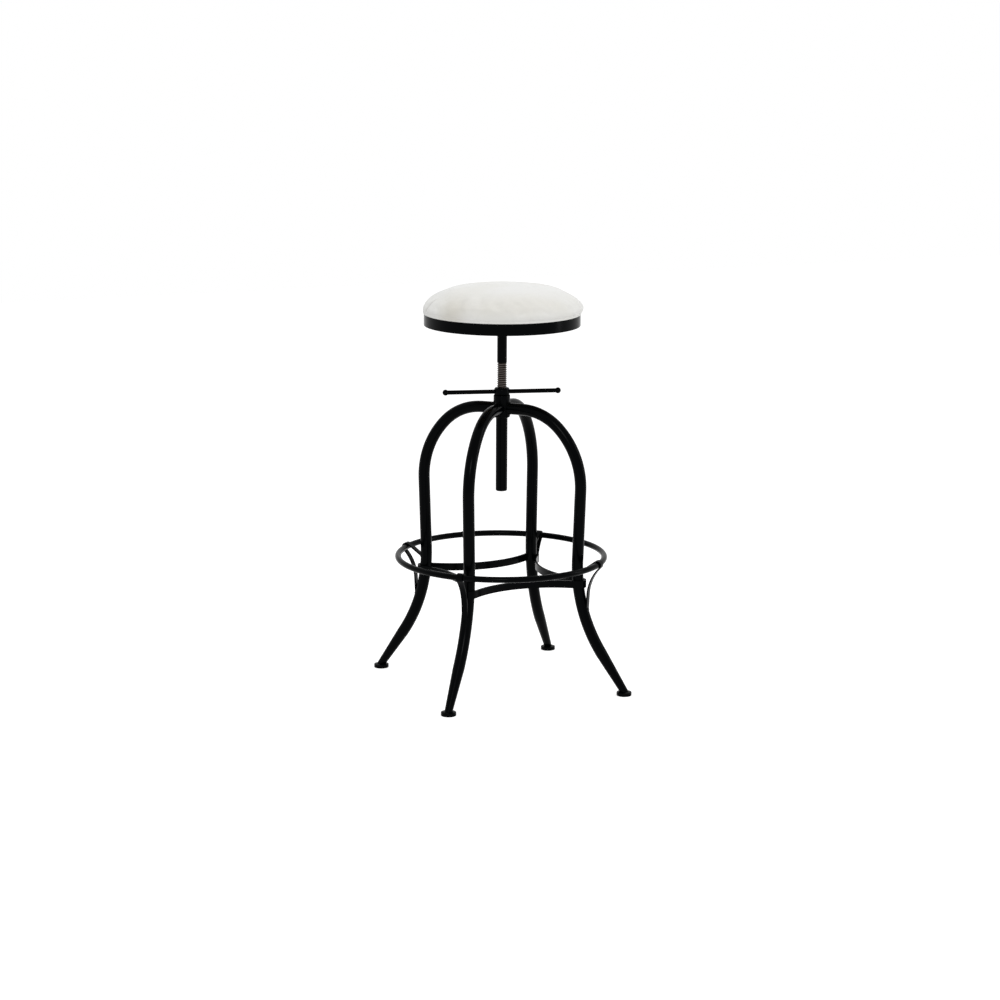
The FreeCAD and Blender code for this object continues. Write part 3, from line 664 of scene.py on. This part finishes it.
@dataclass
class SeatPad:
    """The domed pad: a stuffed leather cover, drawn in at the steel rim by a welted seam."""

    core_radius: float = 0.177
    side_radius: float = 0.186
    base_level: float = 0.8610
    neck_level: float = 0.8775
    side_level: float = 0.8850
    top_level: float = 0.9455
    shoulder: float = 0.032
    arc_steps: tuple[int, int, int] = (5, 10, 24)
    sides: int = 120
    slack: float = 0.0105
    swell_cap: float = 0.007
    ironing: tuple[float, int] = (0.5, 5)
    voxel: float = 0.0050
    pressure: float = 4.0
    last_frame: int = 20
    settled: tuple[float, float, float] = (0.0029, -0.0012, 0.0)
    welt_radius: float = 0.17945
    welt_level: float = 0.87525
    welt_thickness: float = 0.0045
    welt_sides: tuple[int, int] = (12, 240)
    gathers: int = 64
    gather_wander: float = 7.0
    gather_patches: float = 3.1
    gather_mean: float = 0.55
    gather_depth: float = 0.0007
    gather_height: float = 0.016
    gather_end: float = 3.0
    crease: tuple[tuple[float, float, float], ...] = (
        (-0.1815, 0.0215, 0.8870),
        (-0.1735, 0.0180, 0.9010),
        (-0.1630, 0.0165, 0.9100),
        (-0.1530, 0.0140, 0.9170),
        (-0.1390, 0.0105, 0.9225),
    )
    crease_depth: float = 0.0050
    crease_width: float = 0.0070
    lip_share: float = 0.2
    lip_widths: float = 2.6
    # How strong and how wide the crease's painted shade is.
    shade_share: float = 0.5
    shade_widths: float = 0.75

    def section(self, mesh: BMesh, lowered: float) -> None:
        """Draws half of the pad's section.

        Args:
            mesh: An empty mesh.
            lowered: How much lower the crown is than when it is stuffed.
        """
        top, side, neck = self.top_level - lowered, self.side_level, self.neck_level
        corners = ((0.0, self.base_level), (self.core_radius, self.base_level), (self.core_radius, neck))
        verts = outline(mesh, [Vector((across, 0, level)) for across, level in corners])
        run, rise = self.side_radius - self.core_radius, side - neck
        tuck = (run**2 + rise**2) / (2 * run)
        at_tuck, at_shoulder, at_dome = self.arc_steps
        middle = Vector((self.side_radius - tuck, 0, side))
        at_side = arc_on(mesh, verts[-1], middle, math.asin(rise / tuck), at_tuck)
        reach, lift = self.side_radius - self.shoulder, top - side
        dome = (reach**2 + lift**2 - self.shoulder**2) / (2 * (lift - self.shoulder))
        lean = math.atan2(reach, dome - lift)
        bend = arc_on(mesh, at_side, Vector((reach, 0, side)), math.pi / 2 - lean, at_shoulder)
        arc_on(mesh, bend, Vector((0, 0, top - dome)), lean, at_dome)

    def swell(self, piece: bpy.types.Object) -> None:
        """Stuffs the cover by a cloth simulation, held where the rim grips it.

        Args:
            piece: The pad before it is stuffed.
        """
        remesh = piece.modifiers.new("Remesh", "REMESH")
        remesh.mode, remesh.voxel_size = "VOXEL", self.voxel
        baked(piece)
        rest = [vert.co.copy() for vert in piece.data.vertices]
        held = piece.vertex_groups.new(name="held")
        held.add([index for index, point in enumerate(rest) if point.z < self.side_level], 1.0, "REPLACE")
        cloth = piece.modifiers.new("Cloth", "CLOTH").settings
        cloth.use_pressure, cloth.uniform_pressure_force = True, self.pressure
        cloth.effector_weights.gravity = 0.0
        cloth.vertex_group_mass = held.name
        for number in range(1, self.last_frame + 1):
            bpy.context.scene.frame_set(number)
        baked(piece)
        bpy.context.scene.frame_set(1)
        for vert, start in zip(piece.data.vertices, rest):
            moved = vert.co - start
            if moved.length > self.swell_cap:
                vert.co = start + moved.normalized() * self.swell_cap

    def settle(self, piece: bpy.types.Object) -> None:
        """Moves the stuffing above the welt a little to one side, as a pad that is sat on settles.

        Args:
            piece: The stuffed pad.
        """
        rise = self.side_level - self.neck_level
        for vert in piece.data.vertices:
            share = min(max((vert.co.z - self.neck_level) / rise, 0.0), 1.0)
            vert.co += Vector(self.settled) * share

    def gather(self, point: Vector) -> float:
        """How far the cover is drawn in by the gathers above the welt.

        Args:
            point: A point of the cover.

        Returns:
            The depth there.
        """
        height = (point.z - self.neck_level) / self.gather_height
        if not 0 < height < self.gather_end:
            return 0.0
        azimuth = math.atan2(point.y, point.x)
        loose = noise.noise(Vector((math.cos(azimuth), math.sin(azimuth), 0.0)) * self.gather_patches)
        wave = math.sin(self.gathers * azimuth + self.gather_wander * loose)
        return self.gather_depth * (self.gather_mean + loose) * (1 + wave) / 2 * math.exp(-(height**2))

    def crease_at(self, point: Vector) -> tuple[float, float]:
        """Places a point against the one long crease.

        Args:
            point: A point of the cover.

        Returns:
            How far across the crease the point is, in widths, and how strong the crease is beside it.
        """
        corners = [Vector(corner) for corner in self.crease]
        lengths = [(second - first).length for first, second in zip(corners, corners[1:])]
        nearest, along, gone = math.inf, 0.0, 0.0
        for first, second, length in zip(corners, corners[1:], lengths):
            share = min(max(geometry.intersect_point_line(point, first, second)[1], 0.0), 1.0)
            away = (point - first.lerp(second, share)).length
            if away < nearest:
                nearest, along = away, gone + share * length
            gone += length
        return nearest / self.crease_width, 1 - (along / gone) ** 2

    def fold(self, point: Vector) -> float:
        """How far the crease draws the cover in, or lets it stand proud beside the crease.

        Args:
            point: A point of the cover.

        Returns:
            The depth there.
        """
        across, strength = self.crease_at(point)
        lip = self.lip_share * math.exp(-((across / self.lip_widths) ** 2))
        return self.crease_depth * strength * (math.exp(-(across**2)) - lip)

    def crease_shade_share(self, point: Vector) -> float:
        """The share of painted shade that the crease gets at a point."""
        across, strength = self.crease_at(point)
        return self.shade_share * strength * math.exp(-((across / self.shade_widths) ** 2))

    def dress(self) -> None:
        """Builds the pad and its welt."""
        mesh = bmesh.new()
        self.section(mesh, self.slack)
        turn_up(mesh, self.sides)
        pad = make_piece("seat_cushion", mesh, [LEATHER], Body.SEAT, ["cushion"])
        self.swell(pad)
        self.settle(pad)
        ironed = pad.modifiers.new("Smooth", "SMOOTH")
        ironed.factor, ironed.iterations = self.ironing
        smoother = pad.modifiers.new("Subdivision", "SUBSURF")
        smoother.levels = smoother.render_levels = 1
        baked(pad)
        # Paints shade along the crease, through a layer that the leather's colour reads.
        layer = pad.data.attributes.new(LEATHER.shade_layer, "FLOAT", "POINT")
        layer.data.foreach_set("value", [self.crease_shade_share(vert.co) for vert in pad.data.vertices])
        depths = [vert.normal * (self.gather(vert.co) + self.fold(vert.co)) for vert in pad.data.vertices]
        for vert, depth in zip(pad.data.vertices, depths):
            vert.co -= depth
        pad.data.shade_smooth()
        self.dress_welt()

    def dress_welt(self) -> None:
        """Builds the thin covered cord between pad and rim."""
        mesh = bmesh.new()
        place = Matrix.Translation((self.welt_radius, 0, self.welt_level)) @ Matrix.Rotation(math.pi / 2, 4, "X")
        around, along = self.welt_sides
        bmesh.ops.create_circle(mesh, segments=around, radius=self.welt_thickness / 2, matrix=place)
        turn_up(mesh, along)
        make_piece("cushion_welt", mesh, [LEATHER], Body.SEAT, ["cushion_piping"])


# --- Spindle ---


@dataclass
class Spindle:
    """The screw: a bare trapezoidal thread below, and a plain painted shank under the seat."""

    bottom: float = 0.5345
    shoulder_level: float = 0.7596
    top: float = 0.8440
    crest_radius: float = 0.011
    root_radius: float = 0.0092
    shank_radius: float = 0.0113
    pitch: float = 0.005
    crest_width: float = 0.0018
    root_width: float = 0.0014
    steps_per_turn: int = 32
    shank_sides: int = 64
    edge: float = 0.0005
    crisp_deg: float = 28

    def thread(self, mesh: BMesh) -> None:
        """Winds one pitch of the thread's section up the spindle, and cuts it square at both ends.

        Args:
            mesh: An empty mesh.
        """
        flank = (self.pitch - self.crest_width - self.root_width) / 2
        start = self.bottom - self.pitch
        heights = (0, self.root_width, self.root_width + flank, self.pitch - flank, self.pitch)
        radii = (self.root_radius, self.root_radius, self.crest_radius, self.crest_radius, self.root_radius)
        section = [Vector((radius, 0, start + rise)) for radius, rise in zip(radii, heights)]
        turns = round((self.shoulder_level - self.bottom) / self.pitch) + 2
        wind(mesh, section, turns, self.pitch, self.steps_per_turn)
        for level, normal in ((self.bottom, -UP), (self.shoulder_level, UP)):
            wound = mesh.verts[:] + mesh.edges[:] + mesh.faces[:]
            cut = bmesh.ops.bisect_plane(mesh, geom=wound, plane_co=UP * level, plane_no=normal, clear_outer=True)
            bmesh.ops.edgeloop_fill(mesh, edges=only(cut["geom_cut"], BMEdge))
        bmesh.ops.recalc_face_normals(mesh, faces=mesh.faces[:])

    def shank(self) -> BMesh:
        """Makes the plain painted shank above the thread.

        Returns:
            Its mesh, with the second material.
        """
        mesh = bmesh.new()
        radius, base, top = self.shank_radius, self.shoulder_level, self.top
        corners = ((0, base), (radius - self.edge, base), (radius, base + self.edge), (radius, top), (0, top))
        outline(mesh, [Vector((across, 0, level)) for across, level in corners])
        turn_up(mesh, self.shank_sides)
        for face in mesh.faces:
            face.material_index = 1
        return mesh

    def dress(self) -> None:
        """Builds the spindle."""
        mesh = bmesh.new()
        self.thread(mesh)
        add_copies(mesh, self.shank(), [Matrix()])
        piece = make_piece("screw_spindle", mesh, [THREAD_STEEL, COAT], Body.SEAT, ["spindle"])
        sharpen(piece, self.crisp_deg)


# --- Screws and welds ---


@dataclass
class PlateScrews:
    """The pan-headed wood screws under the seat's plate, each with a cross recess and a thread."""

    circle_radius: float = 0.070
    plate_bottom: float = 0.8440
    head_radius: float = 0.0045
    head_height: float = 0.0030
    flat_radius: float = 0.0030
    stem_radius: float = 0.0016
    crest_radius: float = 0.00225
    length: float = 0.0139
    point_length: float = 0.003
    pitch: float = 0.0018
    thread_section: tuple[tuple[int, float], ...] = ((0, 0.0), (0, 0.45), (1, 0.5), (0, 0.62), (0, 1.0))
    recess_reach: float = 0.0024
    recess_half_width: float = 0.00055
    recess_depth: float = 0.0019
    recess_taper: float = 0.62
    turned_by: float = 0.6
    head_steps: int = 6
    sides: int = 32
    thread_sides: int = 20
    crisp_deg: float = 32

    def recess(self, mesh: BMesh) -> None:
        """Closes the head's flat end round a cross, and sinks the cross into the head.

        Args:
            mesh: The screw's mesh, open at its flat end.
        """
        rim = [edge for edge in mesh.edges if edge.is_boundary]
        reach, width = self.recess_reach, self.recess_half_width
        arm = [Vector((reach, -width)), Vector((reach, width)), Vector((width, width))]
        corners = [Matrix.Rotation(turn, 2) @ corner for turn in SIDE_AZIMUTHS for corner in arm]
        verts = outline(mesh, [Vector((*corner, -self.head_height)) for corner in corners])
        mesh.edges.new((verts[-1], verts[0]))
        cross = list({edge for vert in verts for edge in vert.link_edges})
        bmesh.ops.triangle_fill(mesh, use_beauty=True, edges=rim + cross)
        sunk = bmesh.ops.extrude_edge_only(mesh, edges=cross)["geom"]
        taper = Matrix.Diagonal((self.recess_taper, self.recess_taper, 1.0, 1.0))
        sinking = Matrix.Translation(UP * self.recess_depth) @ taper
        bmesh.ops.transform(mesh, matrix=sinking, verts=only(sunk, BMVert))
        edges = [edge for edge in only(sunk, BMEdge) if edge.is_boundary]
        bmesh.ops.triangle_fill(mesh, use_beauty=True, edges=edges)

    def screw(self) -> BMesh:
        """Makes one screw, the underside of its head at the origin.

        Returns:
            Its mesh.
        """
        mesh = bmesh.new()
        stem, flat, drop = self.stem_radius, self.flat_radius, self.head_height
        bend = self.head_radius - flat
        start = outline(mesh, [Vector((flat, 0, -drop))])[0]
        edge = arc_on(mesh, start, Vector((flat, 0, bend - drop)), math.pi / 2, self.head_steps)
        corners = ((self.head_radius, 0.0), (stem, 0.0), (stem, self.length - self.point_length), (0.0, self.length))
        verts = outline(mesh, [Vector((across, 0, level)) for across, level in corners])
        mesh.edges.new((edge, verts[0]))
        turn_up(mesh, self.sides)
        self.recess(mesh)
        clean(mesh)
        thread = bmesh.new()
        radii = (stem - BURIED, self.crest_radius)
        section = [Vector((radii[on_crest], 0, share * self.pitch)) for on_crest, share in self.thread_section]
        turns = int((self.length - self.point_length - MM) / self.pitch)
        wind(thread, section, turns, self.pitch, self.thread_sides)
        add_copies(mesh, thread, [Matrix()])
        return mesh

    def dress(self) -> None:
        """Builds the four screws."""
        places = []
        for number, azimuth in enumerate(CORNER_AZIMUTHS):
            place = Matrix.Rotation(azimuth, 3, "Z") @ Vector((self.circle_radius, 0, self.plate_bottom))
            places.append(Matrix.Translation(place) @ Matrix.Rotation(azimuth + self.turned_by * number, 4, "Z"))
        mesh = bmesh.new()
        add_copies(mesh, self.screw(), places)
        piece = make_piece("seat_wood_screws", mesh, [ZINC_STEEL], Body.SEAT, ["plate_screws"])
        sharpen(piece, self.crisp_deg)


@dataclass
class Welds:
    """The weld beads, rippled where the torch paused, under the same coat as the tubes."""

    tube_radius: float = 0.01345
    hub_radius: float = 0.01925
    hub_bottom: float = 0.632
    leg_level: float = 0.653
    flare_radius: float = 0.360
    flare_centre: tuple[float, float] = (0.55053, 0.29531)
    ring_level: float = 0.3033
    ring_radius: float = 0.24062
    rod_radius: float = 0.007
    bar_level: float = 0.256
    bar_half_depth: float = 0.00875
    bar_inside: float = 0.01466
    bar_outside: float = 0.01886
    strap_half_width: float = 0.007
    upper_arm_deg: tuple[float, float, float] = (0.888, 1.600, 119.2)
    lower_arm_deg: tuple[float, float, float] = (14.40, 16.16, 498.7)
    shank_radius: float = 0.0113
    plate_bottom: float = 0.8440
    bead: float = 0.0015
    bead_sides: int = 8
    saddle_share: float = 1.2
    arm_share: float = 0.8
    butt_share: float = 0.5
    sunk: float = 0.0003
    stand_off: float = 0.0004
    ripple: float = 0.0024
    ripple_depth: float = 0.13
    step: float = 0.0006

    def lay(self, route: Sequence[Vector], size: float, closed: bool) -> BMesh:
        """Lays one bead, with ripples at even steps along its seam.

        Args:
            route: The seam.
            size: The bead's mean radius.
            closed: Whether the seam's ends join.

        Returns:
            The bead's mesh.
        """
        gone, radii = 0.0, []
        for point, last in zip(route, [route[0], *route]):
            gone += (point - last).length
            radii.append(size * (1 + self.ripple_depth * math.sin(FULL_TURN * gone / self.ripple)))
        return sweep(route, radii, self.bead_sides, closed)

    def steps(self, length: float) -> int:
        """How many points a seam of this length gets, never under two."""
        return max(2, round(length / self.step))

    def hub_seam(self) -> list[Vector]:
        """The saddle-shaped line where a level tube meets the round hub.

        Returns:
            The closed line.
        """
        count = self.steps(FULL_TURN * self.tube_radius)
        circle = circle_at(ORIGIN, self.tube_radius, FORWARD, UP, count)
        return [Vector((math.sqrt(self.hub_radius**2 - y**2), y, self.leg_level + z)) for _, y, z in circle]

    def on_leg(self, turn: float, across: float) -> Vector:
        """A point of the leg's outer side.

        Args:
            turn: How far round the flare it is, down from the level of the flare's centre.
            across: How far it is from the leg's own plane.

        Returns:
            The point, for a leg that stands towards +X.
        """
        radius = self.flare_radius - math.sqrt(self.tube_radius**2 - across**2)
        reach, level = self.flare_centre
        return Vector((reach - radius * math.cos(turn), across, level - radius * math.sin(turn)))

    def arm_seam(self, first_deg: float, last_deg: float, slope_deg: float) -> list[Vector]:
        """The closed line where a strap's end meets the leg.

        Args:
            first_deg: The turn round the flare of its upper edge, in the leg's plane.
            last_deg: The same for its lower edge.
            slope_deg: How much the turn grows for each metre that the tube falls away to the side.

        Returns:
            The line.
        """
        half = self.strap_half_width
        edge_count = self.steps(2 * half)
        side_count = self.steps(math.radians(last_deg - first_deg) * self.flare_radius)
        flat = ((first_deg, -half), (first_deg, half), (last_deg, half), (last_deg, -half))
        corners = [Vector(corner) for corner in flat]
        route = []
        for corner, after, count in zip(corners, corners[1:] + corners[:1], (edge_count, side_count) * 2):
            for index in range(count):
                turn_deg, across = corner.lerp(after, index / count)
                fall = self.tube_radius - math.sqrt(self.tube_radius**2 - across**2)
                route.append(self.on_leg(math.radians(turn_deg + slope_deg * fall), across))
        return route

    def bar_seams(self) -> Iterable[list[Vector]]:
        """The lines above and below the hooked bars round a leg, and down where the hooks meet.

        Returns:
            The three open lines, for a leg that stands towards +X.
        """
        reach, level = self.flare_centre
        for side in (1, -1):
            edge = self.bar_level + side * self.bar_half_depth
            leg = reach - math.sqrt(self.flare_radius**2 - (level - edge) ** 2)
            middle = reach - math.sqrt(self.flare_radius**2 - (level - self.bar_level) ** 2)
            count = self.steps(FULL_TURN * self.bar_inside)
            centre = Vector(((leg + middle) / 2, 0, edge - side * self.sunk))
            inside = (self.bar_inside + self.tube_radius) / 2
            circle = circle_at(centre, inside, -FORWARD, RIGHT, count)
            yield circle[: count // 2 + 1]
        face = Vector((middle + self.bar_outside - self.sunk, 0, self.bar_level))
        half, count = self.bar_half_depth - self.bead, self.steps(2 * self.bar_half_depth)
        yield [face + UP * half * (2 * index / count - 1) for index in range(count + 1)]

    def ring_round(self, radius: float, level: float) -> list[Vector]:
        """A level circle about the stool's axis."""
        return circle_at(UP * level, radius, RIGHT, FORWARD, self.steps(FULL_TURN * radius))

    def dress(self) -> None:
        """Builds the frame's beads, and the one bead between shank and plate."""
        legs = [Matrix.Rotation(azimuth, 4, "Z") for azimuth in CORNER_AZIMUTHS]
        arms = (self.upper_arm_deg, self.lower_arm_deg)
        joints = [(self.hub_seam(), self.saddle_share, True)]
        joints += [(self.arm_seam(*turns), self.arm_share, True) for turns in arms]
        joints += [(seam, 1.0, False) for seam in self.bar_seams()]
        mesh = bmesh.new()
        for seam, share, closed in joints:
            add_copies(mesh, self.lay(seam, self.bead * share, closed), legs)
        gap = self.stand_off
        guard = self.ring_round(self.tube_radius + gap, self.hub_bottom)
        butt_place = Vector((0, self.ring_radius, self.ring_level))
        butt = circle_at(butt_place, self.rod_radius, FORWARD, UP, self.steps(FULL_TURN * self.rod_radius))
        for seam, share in ((guard, 1.0), (butt, self.butt_share)):
            add_copies(mesh, self.lay(seam, self.bead * share, closed=True), [Matrix()])
        make_piece("frame_weld_beads", mesh, [COAT], Body.FRAME)
        shank = self.ring_round(self.shank_radius + gap, self.plate_bottom - gap)
        mesh = self.lay(shank, self.bead, closed=True)
        make_piece("shank_weld_bead", mesh, [ZINC_STEEL], Body.SEAT)


# --- Studio ---


@dataclass(frozen=True)
class SoftBox:
    """One large, even studio lamp that points at the stool."""

    name: str
    place: tuple[float, float, float]
    width: float
    height: float
    watts: float
    aim: tuple[float, float, float] = (0.0, 0.0, 0.55)

    def hang(self) -> None:
        """Puts the lamp in the scene."""
        lamp = bpy.data.lights.new(self.name, "AREA")
        lamp.shape, lamp.size, lamp.size_y, lamp.energy = "RECTANGLE", self.width, self.height, self.watts
        holder = bpy.data.objects.new(self.name, lamp)
        bpy.context.scene.collection.objects.link(holder)
        holder.location = self.place
        holder.rotation_euler = (Vector(self.aim) - Vector(self.place)).to_track_quat("-Z", "Y").to_euler()
        log.info("%s: %.0f W", self.name, self.watts)


def seen_rays(tree: Tree) -> Socket:
    """Picks out the rays on which a white room is seen, and not only lights the stool.

    Args:
        tree: The node tree that asks.

    Returns:
        A socket that is 1 on camera, mirror and glass rays, and 0 on all others.
    """
    rays = add_node(tree, "LightPath").outputs
    seen = rays["Is Camera Ray"]
    for kind in ("Is Glossy Ray", "Is Transmission Ray"):
        seen = add_node(tree, "Math", {0: seen, 1: rays[kind]}, operation="MAXIMUM").outputs["Value"]
    return seen


@dataclass
class Studio:
    """A white floor, soft lamps and the camera."""

    floor_size: float = 14.0
    floor_glow: str = "#d0d0d0"
    sky: float = 0.63
    camera_place: tuple[float, float, float] = (-2.3048, -5.4711, 1.6927)
    camera_turn_deg: tuple[float, float, float] = (-22.814, 78.0461, 0.2697)
    lens_mm: float = 93.949
    paper: str = "#e6e6e6"
    lamps: tuple[SoftBox, ...] = (
        SoftBox("key_lamp", (-1.4, -3.2, 2.2), width=0.9, height=0.9, watts=24),
        SoftBox("top_lamp", (0.3, 0.6, 3.2), width=1.6, height=1.6, watts=16),
        SoftBox("side_lamp", (2.8, -1.2, 1.3), width=0.35, height=1.8, watts=12),
    )

    def lay_floor(self) -> None:
        """Lays the white floor. Seen straight on or mirrored it is paper white, apart from the stool's shadow."""
        mesh = bmesh.new()
        bmesh.ops.create_grid(mesh, x_segments=1, y_segments=1, size=self.floor_size / 2)
        data = bpy.data.meshes.new("studio_floor")
        mesh.to_mesh(data)
        mesh.free()
        floor = bpy.data.objects.new("studio_floor", data)
        bpy.context.scene.collection.objects.link(floor)
        paper = bpy.data.materials.new("white_studio_paper")
        paper.use_nodes = True
        tree = paper.node_tree
        tree.nodes.clear()
        matt = add_node(tree, "BsdfDiffuse", {"Color": linear(self.paper)})
        glow = add_node(tree, "Emission", {"Strength": seen_rays(tree), "Color": linear(self.floor_glow)})
        both = add_node(tree, "AddShader", {0: matt.outputs["BSDF"], 1: glow.outputs["Emission"]})
        add_node(tree, "OutputMaterial", {"Surface": both.outputs["Shader"]})
        data.materials.append(paper)
        log.info("studio_floor: %.0f m square", self.floor_size)

    def light_sky(self) -> None:
        """Lights the room evenly. Its walls are white where the camera, or a mirror or glass, sees them."""
        world = bpy.data.worlds.new("studio_room")
        world.use_nodes = True
        bpy.context.scene.world = world
        tree = world.node_tree
        tree.nodes.clear()
        strength = add_node(
            tree, "MapRange", {"Value": seen_rays(tree), "To Min": self.sky, "To Max": 1.0}
        ).outputs["Result"]
        room = add_node(tree, "Background", {"Color": linear("#ffffff"), "Strength": strength})
        add_node(tree, "OutputWorld", {"Surface": room.outputs["Background"]})

    def set_camera(self) -> None:
        """Puts the camera where the stool is seen from."""
        lens = bpy.data.cameras.new("camera")
        lens.lens = self.lens_mm
        camera = bpy.data.objects.new("camera", lens)
        bpy.context.scene.collection.objects.link(camera)
        heading, tilt, roll = (math.radians(angle) for angle in self.camera_turn_deg)
        turn = Matrix.Rotation(heading, 4, "Z") @ Matrix.Rotation(tilt, 4, "X") @ Matrix.Rotation(roll, 4, "Z")
        camera.matrix_world = Matrix.Translation(self.camera_place) @ turn
        bpy.context.scene.camera = camera
        bpy.context.scene.view_settings.view_transform = "Standard"

    def set_up(self) -> None:
        """Builds the whole studio."""
        self.set_camera()
        self.lay_floor()
        self.light_sky()
        for lamp in self.lamps:
            lamp.hang()


def main() -> None:
    """Builds the studio and dresses the stool, from the seat down."""
    logging.basicConfig(level=logging.INFO, format="%(name)s: %(message)s")
    Studio().set_up()
    dress_nodes(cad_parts)
    for part in (SeatPad(), Spindle(), PlateScrews(), Welds()):
        part.dress()


if __name__ == "__main__":
    main()
